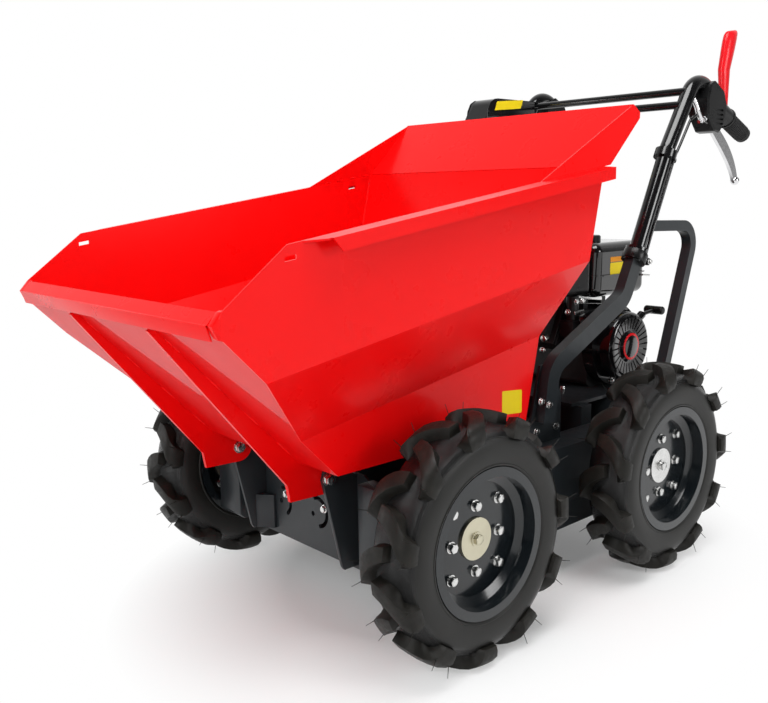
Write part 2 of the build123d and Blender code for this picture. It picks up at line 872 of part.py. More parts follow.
def clutch_lever():
    # A dipped paddle that stands up beside the housing, waisted at its foot and flared to a slanted top.
    stations = [
        (-806, 1054, 28, 14),
        (-803, 1110, 30, 16),
        (-800, 1160, 36, 18),
        (-822, 1232, 46, 20),
        (-829, 1256, 50, 18),
    ]
    sections = []
    for x, z, width, depth in stations:
        tilt = 0 if z < 1200 else 10
        sections.append(Pos(x, handle_y, z) * Rot(Y=tilt) * Ellipse(width / 2, depth / 2))
    return loft(sections) - handle_upper() - grip() - lever_housing()


def control_cable():
    # From the housing down the bar's outer rear side, held by the collar and the clamp.
    behind = sqrt((bar_radius + cable_radius + seam) ** 2 - cable_outset ** 2)
    points = [
        (-706, 1018),
        (-640, 1038),
        (-612, 1024),
        along_bar(bar_collar_distance() + 40, behind + 8),
        along_bar(bar_collar_distance(), behind),
        along_bar(60, behind),
        along_bar(-12, behind + 2),
    ]
    path = FilletPolyline([(x, handle_y + cable_outset, z) for x, z in points], radius=14)
    return sweep(Plane(origin=path @ 0, z_dir=path % 0) * Circle(cable_radius), path=path)


def save(node, shape):
    export_step(Pos(middle_x, 0, -ground_z) * shape, os.path.join("parts", node + ".step"))


os.makedirs("parts", exist_ok=True)

side = skip_side()
save("skip_side_left", side)
save("skip_side_right", mirrored(side))
save("skip_floor", skip_floor())
save("skip_rear_wall", skip_rear_wall())
save("skip_lip", skip_lip())
save("skip_rims", both_sides(skip_rims()))
save("skip_rear_guard", skip_rear_guard())
save("skip_ribs", both_sides(skip_rib()))

for end, x in (("front", half_wheelbase), ("rear", -half_wheelbase)):
    for hand in ("left", "right"):
        for piece, make in (("tyre", tyre), ("rim", rim), ("hub", hub)):
            shape = make(x)
            if hand == "right":
                shape = mirrored(shape)
            save(piece + "_" + end + "_" + hand, shape)

case = side_case()
save("side_case_left", case)
save("side_case_right", mirrored(case))
save("front_plate", front_plate())
save("pivot_brackets", both_sides(pivot_bracket()))
save("pivot_bolts", both_sides(pivot_bolt()))
save("belly_plate", belly())
save("uprights", both_sides(upright()))
save("engine_deck", engine_deck())
save("gearbox", gearbox())
save("engine_block", engine_block())
save("engine_head", engine_head())
save("carburettor", carburettor())
save("blower_housing", blower_housing())
save("recoil_starter", recoil_starter())
save("starter_handle", starter_handle())
save("fuel_tank", fuel_tank())
save("fuel_cap", fuel_cap())
save("air_filter", air_filter())
save("muffler", muffler())
save("handle_lower", both_sides(handle_lower()))
save("handle_upper", both_sides(handle_upper()))
save("cross_tubes", cross_tubes())
save("rear_braces", both_sides(rear_brace()))
save("grips", both_sides(grip()))
save("handle_clamps", both_sides(handle_clamp()))
save("lever_housings", both_sides(lever_housing()))
save("steering_levers", both_sides(steering_lever()))
save("control_cables", both_sides(control_cable()))
save("console", console())
save("clutch_lever", clutch_lever())
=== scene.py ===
import bpy
import json
from math import cos, pi, radians, sin
from mathutils import Matrix, Vector


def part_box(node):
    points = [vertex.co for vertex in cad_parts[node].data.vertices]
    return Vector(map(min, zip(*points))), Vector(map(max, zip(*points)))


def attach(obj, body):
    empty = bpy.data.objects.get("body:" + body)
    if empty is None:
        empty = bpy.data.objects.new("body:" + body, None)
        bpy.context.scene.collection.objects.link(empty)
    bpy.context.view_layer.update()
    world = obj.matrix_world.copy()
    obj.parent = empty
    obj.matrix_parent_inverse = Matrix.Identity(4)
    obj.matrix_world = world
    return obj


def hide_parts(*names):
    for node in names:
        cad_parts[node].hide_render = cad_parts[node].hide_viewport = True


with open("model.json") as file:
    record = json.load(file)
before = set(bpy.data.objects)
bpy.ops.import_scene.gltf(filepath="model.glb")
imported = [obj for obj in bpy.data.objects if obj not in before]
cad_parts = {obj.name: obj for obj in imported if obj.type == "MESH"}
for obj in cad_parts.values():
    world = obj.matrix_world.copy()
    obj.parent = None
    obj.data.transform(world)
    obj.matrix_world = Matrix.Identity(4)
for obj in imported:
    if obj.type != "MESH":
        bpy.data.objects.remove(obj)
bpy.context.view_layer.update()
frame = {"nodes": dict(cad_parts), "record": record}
NODES = frame["nodes"]

# The frame has its origin on the ground, +X over the skip's lip and +Y to the machine's left.
MIDDLE_X = 50.75
GROUND_RISE = 4.0
CAMERA_PLACE = (1.51258, 1.42205, 0.85902)
CAMERA_FORWARD = (-0.65889, -0.73152, -0.17532)
CAMERA_UP = (-0.12820, -0.12045, 0.98441)
CAMERA_LENS = 41.48

WHEELS = [(end, hand) for end in ("front", "rear") for hand in ("left", "right")]
SIDES = (("left", 1), ("right", -1))


def at(x, y, z):
    """The frame's place, in metres, of a place in millimetres about the middle of the wheelbase."""
    return Vector(((x + MIDDLE_X) / 1000, y / 1000, (z + GROUND_RISE) / 1000))


def clear_selection():
    bpy.ops.object.select_all(action="DESELECT")


def look_along(forward, up):
    """The rotation that looks along forward with up as the picture's upright."""
    back = -Vector(forward).normalized()
    right = Vector(up).cross(back).normalized()
    return Matrix((right, back.cross(right), back)).transposed().to_4x4()


def turn_to(axis):
    """The rotation that carries +Z onto axis."""
    return Vector(axis).normalized().to_track_quat("Z", "Y").to_matrix().to_4x4()


def in_edit(piece):
    clear_selection()
    piece.select_set(True)
    bpy.context.view_layer.objects.active = piece
    bpy.ops.object.mode_set(mode="EDIT")
    bpy.ops.mesh.select_all(action="SELECT")


def leave_edit():
    bpy.ops.object.mode_set(mode="OBJECT")


def apply_place(piece):
    piece.data.transform(piece.matrix_world)
    piece.matrix_world = Matrix.Identity(4)


def smooth(piece, angle=35):
    clear_selection()
    piece.select_set(True)
    bpy.context.view_layer.objects.active = piece
    bpy.ops.object.shade_smooth_by_angle(angle=radians(angle))


def drawn_line(name, points):
    """A chain of edges through the points, drawn by extruding a single vertex from place to place."""
    clear_selection()
    bpy.ops.mesh.primitive_plane_add(size=0.01, location=points[0])
    piece = bpy.context.object
    piece.name = name
    apply_place(piece)
    in_edit(piece)
    bpy.ops.mesh.merge(type="CENTER")
    for near, far in zip(points, points[1:]):
        step = Vector(far) - Vector(near)
        bpy.ops.mesh.extrude_vertices_move(TRANSFORM_OT_translate={"value": step})
    bpy.ops.mesh.select_all(action="SELECT")
    return piece


def round_corners(radius, segments=4):
    """Rounds every corner of the drawn line that is being edited."""
    bpy.ops.mesh.bevel(offset=radius, segments=segments, affect="VERTICES", offset_type="OFFSET")
    bpy.ops.mesh.select_all(action="SELECT")


def tidy_normals():
    bpy.ops.mesh.select_all(action="SELECT")
    bpy.ops.mesh.remove_doubles(threshold=1e-5)
    bpy.ops.mesh.normals_make_consistent(inside=False)


def spun(name, profile, centre, steps, angle):
    """A closed profile of (radius, offset along Y) turned about the Y line through centre."""
    points = [(centre[0], centre[1] + along, centre[2] + radius) for radius, along in profile]
    piece = drawn_line(name, points + points[:1])
    bpy.ops.mesh.remove_doubles(threshold=1e-6)
    bpy.ops.mesh.spin(steps=steps, angle=2 * pi, center=centre, axis=(0, 1, 0))
    tidy_normals()
    leave_edit()
    smooth(piece, angle)
    return piece


def plate(name, corners, depth, rounding=0, edge=0.0006):
    """A flat outline given thickness along depth, with its corners rounded and its edges broken."""
    piece = drawn_line(name, list(corners) + [corners[0]])
    bpy.ops.mesh.remove_doubles(threshold=1e-6)
    if rounding:
        round_corners(rounding)
    bpy.ops.mesh.edge_face_add()
    bpy.ops.mesh.extrude_region_move(TRANSFORM_OT_translate={"value": depth})
    tidy_normals()
    leave_edit()
    if edge:
        break_edges(piece, edge, 40)
    smooth(piece, 30)
    return piece


def side_plate(name, outline, y, thickness, rounding=0, edge=0.0006):
    """A plate whose outline of (x, z) stands at y, in millimetres, with its thickness along Y in metres."""
    return plate(name, [at(x, y, z) for x, z in outline], Vector((0, thickness, 0)), rounding, edge)


def lofted(name, rings):
    """A skin through a run of closed rings with the same number of corners, capped at both ends."""
    loops = []
    for count, ring in enumerate(rings):
        loops.append(drawn_line(f"{name}_ring_{count}", ring + ring[:1]))
        bpy.ops.mesh.remove_doubles(threshold=1e-6)
        leave_edit()
    piece = joined(name, loops)
    in_edit(piece)
    bpy.ops.mesh.bridge_edge_loops(type="SINGLE")
    bpy.ops.mesh.select_all(action="DESELECT")
    bpy.ops.mesh.select_non_manifold()
    bpy.ops.mesh.edge_face_add()
    tidy_normals()
    leave_edit()
    return piece


def rod(name, points, radius, sides=3):
    """A round rod, pipe or wire on one smooth line through the run of points."""
    line = bpy.data.curves.new(name, "CURVE")
    line.dimensions = "3D"
    spline = line.splines.new("NURBS")
    spline.points.add(len(points) - 1)
    for point, place in zip(spline.points, points):
        point.co = (*place, 1)
    spline.order_u = 3
    spline.use_endpoint_u = True
    spline.resolution_u = 10
    line.bevel_depth, line.bevel_resolution, line.use_fill_caps = radius, sides, True
    piece = bpy.data.objects.new(name, line)
    bpy.context.scene.collection.objects.link(piece)
    clear_selection()
    piece.select_set(True)
    bpy.context.view_layer.objects.active = piece
    bpy.ops.object.convert(target="MESH")
    in_edit(piece)
    tidy_normals()
    leave_edit()
    smooth(piece, 50)
    return piece


def disc(name, sides, radius, low, high, rounding=0.0008):
    """A short round or many-sided boss that stands along Z from low to high, with its edges rounded."""
    clear_selection()
    middle = (0, 0, (low + high) / 2)
    bpy.ops.mesh.primitive_cylinder_add(vertices=sides, radius=radius, depth=high - low, location=middle)
    piece = bpy.context.object
    piece.name = name
    apply_place(piece)
    break_edges(piece, rounding, 50)
    smooth(piece, 32)
    return piece


# The width across the flats, the height and the washer's radius of each kind of head and nut.
BOLT_SIZES = {
    "wheel_bolt": (0.0165, 0.0095, 0.0112),
    "wheel_nut": (0.0155, 0.008, 0.0105),
    "axle_bolt": (0.0185, 0.0075, 0.0135),
    "pivot_head": (0.019, 0.008, 0.0135),
    "pivot_nut": (0.019, 0.009, 0.013),
    "frame_bolt": (0.013, 0.0052, 0.0088),
    "engine_bolt": (0.012, 0.005, 0.008),
    "joint_bolt": (0.010, 0.005, 0.007),
}
WASHER_TOP, HEAD_FOOT, CROWN_FOOT, CROWN_RISE = 0.0018, 0.0017, 0.001, 0.0021
CROWN_SHARE = 0.43


def hex_bolt(kind):
    """A hexagon head on its pressed washer, standing along Z from the face it is drawn down on."""
    across, height, skirt = BOLT_SIZES[kind]
    washer = disc(f"{kind}_washer", 28, skirt, 0, WASHER_TOP, 0.0005)
    head = disc(f"{kind}_head", 6, across / 2 / cos(pi / 6), HEAD_FOOT, HEAD_FOOT + height, 0.0011)
    crown = disc(f"{kind}_crown", 24, across * CROWN_SHARE, CROWN_FOOT, CROWN_RISE + height, 0.0004)
    return joined(kind, [washer, head, crown])


def set_on(place, axis, turn=0.0):
    return Matrix.Translation(place) @ turn_to(axis) @ Matrix.Rotation(turn, 4, "Z")


def set_bolts(name, kind, places, body, material):
    """Heads or nuts of one kind, one at each (place, axis, turn), joined as one piece."""
    master = hex_bolt(kind)
    copies = [copy_of(master, f"{name}_{count}", set_on(*spot)) for count, spot in enumerate(places)]
    drop(master)
    ride_as(joined(name, copies), body, "zinc", material)


# The shape of one drop of a bead, as shares of its radius, and the step from drop to drop.
DROP_SHAPE = (1.0, 0.62, 1.25)
DROP_STEP = 1.15


def weld(name, start, end, flat_on, radius=0.0024):
    """A hand-laid bead on the skip: one drop repeated from start to end, each overlapping the last."""
    start, end = at(*start), at(*end)
    length = (end - start).length
    clear_selection()
    bpy.ops.mesh.primitive_uv_sphere_add(segments=8, ring_count=5, radius=radius)
    bead = bpy.context.object
    bead.name = name
    bead.scale = DROP_SHAPE
    bpy.context.view_layer.update()
    apply_place(bead)
    step = radius * DROP_STEP
    modifier(bead, "ARRAY", count=max(2, int(length / step)), use_relative_offset=False,
             use_constant_offset=True, constant_offset_displace=(0, 0, step))
    along = (end - start).normalized()
    away = Vector(flat_on).normalized()
    side = away.cross(along).normalized()
    turn = Matrix((side, along.cross(side), along)).transposed().to_4x4()
    bead.data.transform(Matrix.Translation(start) @ turn)
    smooth(bead, 60)
    ride_as(bead, "skip", "skip_paint", RED_PAINT)


def modifier(piece, kind, **settings):
    """Adds one modifier, sets it and applies it."""
    clear_selection()
    piece.select_set(True)
    bpy.context.view_layer.objects.active = piece
    added = piece.modifiers.new(kind.title(), kind)
    for setting, value in settings.items():
        setattr(added, setting, value)
    bpy.ops.object.modifier_apply(modifier=added.name)


def break_edges(piece, width, angle):
    """Rounds the edges whose faces meet at more than the angle in degrees."""
    modifier(piece, "BEVEL", width=width, segments=2, limit_method="ANGLE", angle_limit=radians(angle))


def copy_of(piece, name, place):
    """A copy with its own mesh, its place in the mesh."""
    twin = piece.copy()
    twin.data = piece.data.copy()
    twin.name = name
    bpy.context.scene.collection.objects.link(twin)
    twin.data.transform(place)
    return twin


def joined(name, pieces):
    clear_selection()
    for piece in pieces:
        piece.select_set(True)
    bpy.context.view_layer.objects.active = pieces[0]
    bpy.ops.object.join()
    pieces[0].name = name
    return pieces[0]


def drop(piece):
    bpy.data.objects.remove(piece)


# Materials


def new_material(name):
    made = bpy.data.materials.new(name)
    made.use_nodes = True
    nodes, links = made.node_tree.nodes, made.node_tree.links
    shader = nodes["Principled BSDF"]
    place = nodes.new("ShaderNodeTexCoord").outputs["Object"]
    return made, nodes, links, shader, place


def noise(nodes, links, place, scale, detail=3.0, roughness=0.55):
    added = nodes.new("ShaderNodeTexNoise")
    added.inputs["Scale"].default_value = scale
    added.inputs["Detail"].default_value = detail
    added.inputs["Roughness"].default_value = roughness
    links.new(place, added.inputs["Vector"])
    return added.outputs["Fac"]


def spread(nodes, links, value, low, high, from_low=0.3, from_high=0.7):
    added = nodes.new("ShaderNodeMapRange")
    added.inputs["From Min"].default_value = from_low
    added.inputs["From Max"].default_value = from_high
    added.inputs["To Min"].default_value = low
    added.inputs["To Max"].default_value = high
    links.new(value, added.inputs["Value"])
    return added.outputs["Result"]


def blended(nodes, links, share, first, second):
    added = nodes.new("ShaderNodeMix")
    added.data_type = "RGBA"
    added.inputs["A"].default_value = (*first, 1)
    added.inputs["B"].default_value = (*second, 1)
    links.new(share, added.inputs["Factor"])
    return added.outputs["Result"]


def bumped(nodes, links, shader, height, distance, strength=1.0):
    added = nodes.new("ShaderNodeBump")
    added.inputs["Strength"].default_value = strength
    added.inputs["Distance"].default_value = distance
    links.new(height, added.inputs["Height"])
    links.new(added.outputs["Normal"], shader.inputs["Normal"])


def coated(name, colour, second, low, high, coat=0.0, metallic=0.0, patch=14, grain=900, depth=0.00004,
           level=0.5, sheen=0.08):
    """A paint, metal or plastic whose colour drifts between two tones and its roughness from low to high."""
    made, nodes, links, shader, place = new_material(name)
    cloud = noise(nodes, links, place, patch)
    share = spread(nodes, links, cloud, 0, 1)
    links.new(blended(nodes, links, share, colour, second), shader.inputs["Base Color"])
    handled = noise(nodes, links, place, patch * 3, 5)
    links.new(spread(nodes, links, handled, low, high), shader.inputs["Roughness"])
    shader.inputs["Metallic"].default_value = metallic
    shader.inputs["Specular IOR Level"].default_value = level
    shader.inputs["Coat Weight"].default_value = coat
    shader.inputs["Coat Roughness"].default_value = sheen
    bumped(nodes, links, shader, noise(nodes, links, place, grain), depth)
    return made


# Both reds of the skip have the same broad patches and the same shallow skin.
SKIP_SKIN = {"patch": 5, "grain": 60, "depth": 0.00001}
RED_PAINT = coated("skip_red", (0.86, 0.0026, 0.0030), (0.84, 0.0022, 0.0028), 0.26, 0.32, 0.12,
                   level=0.14, **SKIP_SKIN)
# A darker, duller copy of the skip's red for the floor plate: painted shade under the lip.
SHADED_FLOOR_RED = coated("skip_floor_red_painted_shade", (0.74, 0.0024, 0.0030), (0.72, 0.0020, 0.0028), 0.40, 0.46, 0.30,
                   level=0.04, sheen=0.025, **SKIP_SKIN)
FRAME_PAINT = coated("frame_blue_grey", (0.020, 0.024, 0.027), (0.016, 0.020, 0.023), 0.28, 0.40,
                     grain=700, level=0.40)
BAR_PAINT = coated("bar_black", (0.0040, 0.0040, 0.0045), (0.0060, 0.0060, 0.0065), 0.10, 0.18, 0.4)
RIM_PAINT = coated("rim_grey", (0.0085, 0.0110, 0.0130), (0.0065, 0.0090, 0.0110), 0.12, 0.20, 0.45,
                   level=0.35)
ENGINE_PAINT = coated("engine_black", (0.0035, 0.0035, 0.0040), (0.0055, 0.0055, 0.0060), 0.08, 0.16, 0.6)
CASTING = coated("engine_casting", (0.010, 0.010, 0.011), (0.016, 0.016, 0.017), 0.30, 0.48,
                 grain=500, depth=0.0002, level=0.35)
PLASTIC = coated("black_plastic", (0.0045, 0.0045, 0.0048), (0.0070, 0.0070, 0.0074), 0.24, 0.36,
                 grain=1500, depth=0.00005, level=0.32)
GRIP_RUBBER = coated("grip_rubber", (0.007, 0.007, 0.007), (0.010, 0.010, 0.010), 0.46, 0.60,
                     grain=1800, depth=0.0001, level=0.3)
ZINC = coated("zinc_plate", (0.80, 0.80, 0.79), (0.70, 0.70, 0.69), 0.18, 0.30,
              metallic=1.0, patch=60, depth=0.00001)
PASSIVATED = coated("yellow_zinc", (0.72, 0.68, 0.52), (0.64, 0.60, 0.46), 0.36, 0.46,
                    metallic=1.0, patch=18, depth=0.00001)
ALUMINIUM = coated("cast_lever", (0.82, 0.82, 0.83), (0.74, 0.74, 0.75), 0.12, 0.22,
                   metallic=1.0, patch=30, depth=0.00001)
MUFFLER_STEEL = coated("muffler_steel", (0.10, 0.095, 0.09), (0.16, 0.15, 0.14), 0.35, 0.55,
                       metallic=1.0, patch=40)
LEVER_RED = coated("lever_red", (0.78, 0.006, 0.012), (0.72, 0.005, 0.010), 0.26, 0.34, 0.1,
                   patch=30, level=0.3)
TREAD_RUBBER = coated("tread_rubber", (0.0075, 0.0070, 0.0058), (0.0140, 0.0130, 0.0105), 0.38, 0.60,
                      patch=36, grain=700, depth=0.00015, level=0.24)
LABEL_YELLOW = coated("label_yellow", (0.86, 0.66, 0.01), (0.82, 0.62, 0.01), 0.30, 0.40,
                      patch=40, level=0.2)
LABEL_AMBER = coated("label_amber", (0.80, 0.30, 0.01), (0.76, 0.28, 0.01), 0.30, 0.40,
                     patch=40, level=0.2)

FINISHES = {
    "skip_paint": RED_PAINT, "frame_paint": FRAME_PAINT, "bar_paint": BAR_PAINT, "rim_paint": RIM_PAINT,
    "tyre_rubber": TREAD_RUBBER, "zinc": ZINC, "engine_paint": ENGINE_PAINT, "engine_casting": CASTING,
    "black_plastic": PLASTIC, "muffler_steel": MUFFLER_STEEL, "grip_rubber": GRIP_RUBBER,
    "red_plastic": LEVER_RED, "polished_aluminium": ALUMINIUM, "cable_sheath": BAR_PAINT,
}


def dress(piece, material):
    piece.data.materials.clear()
    piece.data.materials.append(material)


def finish_cad_nodes():
    """The record's slots give the finishes, apart from the front hubs' zinc and the skip floor's red, which
    is a darker copy of the skip's red painted as shade.
    """
    for part in frame["record"]["subparts"]:
        node = part["node"]
        finish = FINISHES[part["material_slot"]]
        if node.startswith("hub_front"):
            finish = PASSIVATED
        # The skip floor takes the darker copy of the red, as painted shade.
        if node == "skip_floor":
            finish = SHADED_FLOOR_RED
        dress(NODES[node], finish)


def ride_as(piece, body, slot, material, *stands_for):
    dress(piece, material)
    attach(piece, body)
    if stands_for:
        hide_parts(*stands_for)


# Wheels

LUGS_A_SIDE = 11
LUG_HEIGHT = 0.021
BOLT_ROWS = (-0.063, 0, 0.063)
WHEEL_BOLTS = [(x, z) for x in BOLT_ROWS for z in BOLT_ROWS if x or z]
# How far out from the tyre's middle the faces stand that the bolts and nuts are drawn down on.
DISC_FACE, HUB_FACE = 0.008, 0.013
NUT_FACE_CORNER, NUT_FACE_CROSS = 0.002, -0.006

# The crown's look comes in between these radii. The knurl's waves are per radian round and per metre across.
CROWN_FROM, CROWN_FULL = 0.186, 0.200
KNURL_AROUND, KNURL_ACROSS, KNURL_DEPTH = 420.0, 1950.0, 0.00022

# How far each of a bar's two hairs stands to the side of its middle, and how far it leans round the tyre.
HAIRS = ((-0.0195, -0.22), (0.0200, 0.16))
HAIR_LENGTH, HAIR_MIDDLE = 0.026, 0.011
HAIR_BACK, HAIR_DEPTH, HAIR_ACROSS, HAIR_SPLAY = 0.050, 0.017, 0.0535, 0.28
HAIR_CLEARANCE = 0.004


def figure(nodes, links, operation, first, second=0.0):
    """One sum on two values, each a socket or a plain number."""
    added = nodes.new("ShaderNodeMath")
    added.operation = operation
    for value, socket in ((first, added.inputs[0]), (second, added.inputs[1])):
        if isinstance(value, (int, float)):
            socket.default_value = value
        else:
            links.new(value, socket)
    return added.outputs["Value"]


def casing_rubber(name, centre):
    """Rubber of the tyre's casing: dull olive walls, and a glossier crown with a fine knurl."""
    made, nodes, links, shader, place = new_material(name)
    split = nodes.new("ShaderNodeSeparateXYZ")
    links.new(place, split.inputs["Vector"])
    forward = figure(nodes, links, "SUBTRACT", split.outputs["X"], centre.x)
    up = figure(nodes, links, "SUBTRACT", split.outputs["Z"], centre.z)
    squares = figure(nodes, links, "ADD", figure(nodes, links, "MULTIPLY", forward, forward),
                     figure(nodes, links, "MULTIPLY", up, up))
    radius = figure(nodes, links, "SQRT", squares)
    crown = spread(nodes, links, radius, 0, 1, CROWN_FROM, CROWN_FULL)
    turn = figure(nodes, links, "ARCTAN2", forward, up)
    around = figure(nodes, links, "MULTIPLY", turn, KNURL_AROUND)
    across = figure(nodes, links, "MULTIPLY", split.outputs["Y"], KNURL_ACROSS)
    one = figure(nodes, links, "SINE", figure(nodes, links, "ADD", around, across))
    other = figure(nodes, links, "SINE", figure(nodes, links, "SUBTRACT", around, across))
    knurl = figure(nodes, links, "MULTIPLY", figure(nodes, links, "MULTIPLY", one, other), crown)
    grain = noise(nodes, links, place, 600)
    height = figure(nodes, links, "ADD", knurl, figure(nodes, links, "MULTIPLY", grain, 0.5))
    bumped(nodes, links, shader, height, KNURL_DEPTH)
    dust = spread(nodes, links, noise(nodes, links, place, 16, 5), 0, 1)
    wall = blended(nodes, links, dust, (0.0062, 0.0062, 0.0052), (0.0105, 0.0100, 0.0084))
    tone = nodes.new("ShaderNodeMix")
    tone.data_type = "RGBA"
    links.new(crown, tone.inputs["Factor"])
    links.new(wall, tone.inputs["A"])
    tone.inputs["B"].default_value = (0.0055, 0.0055, 0.0055, 1)
    links.new(tone.outputs["Result"], shader.inputs["Base Color"])
    links.new(spread(nodes, links, crown, 0.48, 0.20, 0, 1), shader.inputs["Roughness"])
    shader.inputs["Specular IOR Level"].default_value = 0.38
    return made


def tyre_centre(end, hand):
    """The middle of one of the CAD tyres, its outer radius and half its width."""
    low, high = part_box(f"tyre_{end}_{hand}")
    return (low + high) / 2, (high.z - low.z) / 2, (high.y - low.y) / 2


def carcass(name, centre, outer, half_width):
    """The tyre's casing: beads inside the rim flanges, bulged walls and a round crown, below the bars."""
    tread = outer - LUG_HEIGHT
    side = half_width - 0.007
    # The radius, and how far out from the middle, from the bead to the crown.
    half = [
        (0.1285, 0.0395), (0.1425, 0.0460), (0.1450, 0.0502), (0.1475, 0.0510), (0.1490, 0.0498),
        (0.1515, 0.0505), (0.1620, side - 0.001), (0.1780, side), (0.1900, side - 0.003),
        (tread - 0.012, side - 0.010), (tread - 0.005, side - 0.020), (tread, side - 0.036),
        (tread + 0.001, 0.004),
    ]
    inner = [(0.1400, 0.0350), (0.1600, 0.0430), (0.1900, 0.0400), (0.2010, 0.0200)]
    outside = half + [(radius, -along) for radius, along in half[::-1]]
    inside = [(radius, -along) for radius, along in inner] + inner[::-1]
    return spun(name, outside + inside, centre, 132, 50)


def lug(name, centre, outer, half_width, hand):
    """One bar of the tread, from the crown out over the shoulder, with a square nose on the wall."""
    # How far out from the middle, how far round, the top's radius, half the width, the lean and the depth.
    stations = [
        (-0.014, -0.004, outer - 0.0008, 0.0125, 0, 0.023),
        (0.004, 0.002, outer, 0.0155, 0, 0.024),
        (0.018, 0.010, outer, 0.0175, 3, 0.024),
        (0.031, 0.022, outer - 0.0012, 0.0200, 10, 0.024),
        (0.042, 0.036, outer - 0.0035, 0.0225, 24, 0.026),
        (0.051, 0.047, outer - 0.0090, 0.0240, 46, 0.027),
        (half_width - 0.0020, 0.053, outer - 0.019, 0.0235, 72, 0.026),
        (half_width - 0.0008, 0.055, outer - 0.031, 0.0215, 86, 0.019),
        (half_width - 0.0024, 0.056, outer - 0.041, 0.0190, 92, 0.012),
    ]
    # The bar's section, as shares of half its width and of its depth.
    section = [
        (-1.45, 1.0), (-1.16, 0.66), (-1.0, 0.0), (-0.35, -0.012),
        (0.35, -0.012), (1.0, 0.0), (1.16, 0.66), (1.45, 1.0),
    ]
    rings = []
    for across, back, top, half_bar, lean, depth in stations:
        ring = []
        for share, sunk in section:
            turn = (back + share * half_bar) / outer
            down = max(sunk, 0) * depth
            reach, radius = across - down * sin(radians(lean)), top - down * cos(radians(lean))
            ring.append((
                centre[0] + radius * sin(turn), centre[1] + hand * reach, centre[2] + radius * cos(turn),
            ))
        rings.append(ring)
    piece = lofted(name, rings)
    break_edges(piece, 0.0016, 38)
    return piece


def moulding_hairs(name, centre, outer, hand):
    """The two thin rubber hairs that the mould leaves on a bar's shoulder."""
    hairs = []
    for count, (side, lean) in enumerate(HAIRS):
        clear_selection()
        bpy.ops.mesh.primitive_cone_add(vertices=5, radius1=0.0009, radius2=0.0005, depth=HAIR_LENGTH,
                                        location=(0, 0, HAIR_MIDDLE))
        hair = bpy.context.object
        hair.name = f"{name}_{count}"
        apply_place(hair)
        turn = (HAIR_BACK + side) / outer
        radius = outer - HAIR_DEPTH
        foot = centre + Vector((radius * sin(turn), hand * HAIR_ACROSS, radius * cos(turn)))
        grows = Vector((sin(turn) + lean * cos(turn), hand * HAIR_SPLAY, cos(turn) - lean * sin(turn)))
        hair.data.transform(set_on(foot, grows))
        hairs.append(hair)
    return joined(name, hairs)


def lowest(piece):
    return min(vertex.co.z for vertex in piece.data.vertices)


def tyre(end, hand):
    centre, outer, half_width = tyre_centre(end, hand)
    casing = carcass(f"tyre_casing_{end}_{hand}", centre, outer, half_width)
    bars, hairs = [], []
    for side in (1, -1):
        master = lug(f"lug_{end}_{hand}_{side}", centre, outer, half_width, side)
        whiskers = moulding_hairs(f"hair_{end}_{hand}_{side}", centre, outer, side)
        for count in range(LUGS_A_SIDE):
            turn = (count + (0.5 if side < 0 else 0)) * 2 * pi / LUGS_A_SIDE
            about = Matrix.Translation(centre) @ Matrix.Rotation(turn, 4, "Y") @ Matrix.Translation(-centre)
            bars.append(copy_of(master, f"bar_{side}_{count}", about))
            grown = copy_of(whiskers, f"hairs_{side}_{count}", about)
            # The hairs that would reach the ground are worn off.
            if lowest(grown) > HAIR_CLEARANCE:
                hairs.append(grown)
            else:
                drop(grown)
        drop(master)
        drop(whiskers)
    tread = joined(f"tyre_tread_{end}_{hand}", bars)
    smooth(tread, 40)
    body = f"wheel_{end}_{hand}"
    ride_as(casing, body, "tyre_rubber", CASINGS[end], f"tyre_{end}_{hand}")
    ride_as(tread, body, "tyre_rubber", TREAD_RUBBER)
    ride_as(joined(f"tyre_hairs_{end}_{hand}", hairs), body, "tyre_rubber", TREAD_RUBBER)


def wheel_bolts(end, hand):
    """Eight flanged bolts through the disc with their nuts inside, and the axle's bolt on its plate."""
    centre = tyre_centre(end, hand)[0]
    out = dict(SIDES)[hand]
    body = f"wheel_{end}_{hand}"
    outside, inside = [], []
    for x, z in WHEEL_BOLTS:
        # No two heads stop at quite the same turn.
        outside.append((centre + Vector((x, out * DISC_FACE, z)), (0, out, 0), 0.4 + 1.7 * x + 3.1 * z))
        face = NUT_FACE_CORNER if x and z else NUT_FACE_CROSS
        inside.append((centre + Vector((x, out * face, z)), (0, -out, 0), 0.3 + x))
    set_bolts(f"wheel_bolts_{end}_{hand}", "wheel_bolt", outside, body, ZINC)
    set_bolts(f"wheel_nuts_{end}_{hand}", "wheel_nut", inside, body, ZINC)
    axle = [(centre + Vector((0, out * HUB_FACE, 0)), (0, out, 0), 0.2)]
    set_bolts(f"axle_bolt_{end}_{hand}", "axle_bolt", axle, body, PASSIVATED if end == "front" else ZINC)


def build_wheels():
    for end, hand in WHEELS:
        tyre(end, hand)
        wheel_bolts(end, hand)


# Skip

RIB_Y, RIB_HALF = 147.0, 5
# Where a rib's foot starts under the lip and how far back and down it runs. Its welds are shares of that.
RIB_TOP, RIB_RUN = (809.2, 654), (277.7, 283.4)
RIB_WELDS, RIB_WELD_SHARE = (0.08, 0.34, 0.60, 0.84), 0.09
GUARD_WELDS, GUARD_WELD_LENGTH, GUARD_WELD_Y, GUARD_WELD_RISE = (52, 12, -30, -74), 17, 352, 2
REAR_WELD_Y, REAR_WELD_LOW, REAR_WELD_HIGH, REAR_WELD_AHEAD = 356.5, 725, 893, 4
LIP_WELD_START, LIP_WELD_END = (812, 349, 690), (800, 352, 697)
LIP_END_Y, LIP_END_WIDTH = 346.5, 0.0138
LIP_END_OUTLINE = ((804, 697), (810, 695.4), (826.5, 676.6), (817, 656), (804, 652))
LIP_BAND_Y, LIP_BAND_WIDTH = -347, 0.694
LIP_BAND_OUTLINE = ((829.0, 677.4), (821.0, 653.0), (818.2, 654.0), (825.8, 677.8))
SIDE_LABEL_Y = 264.5
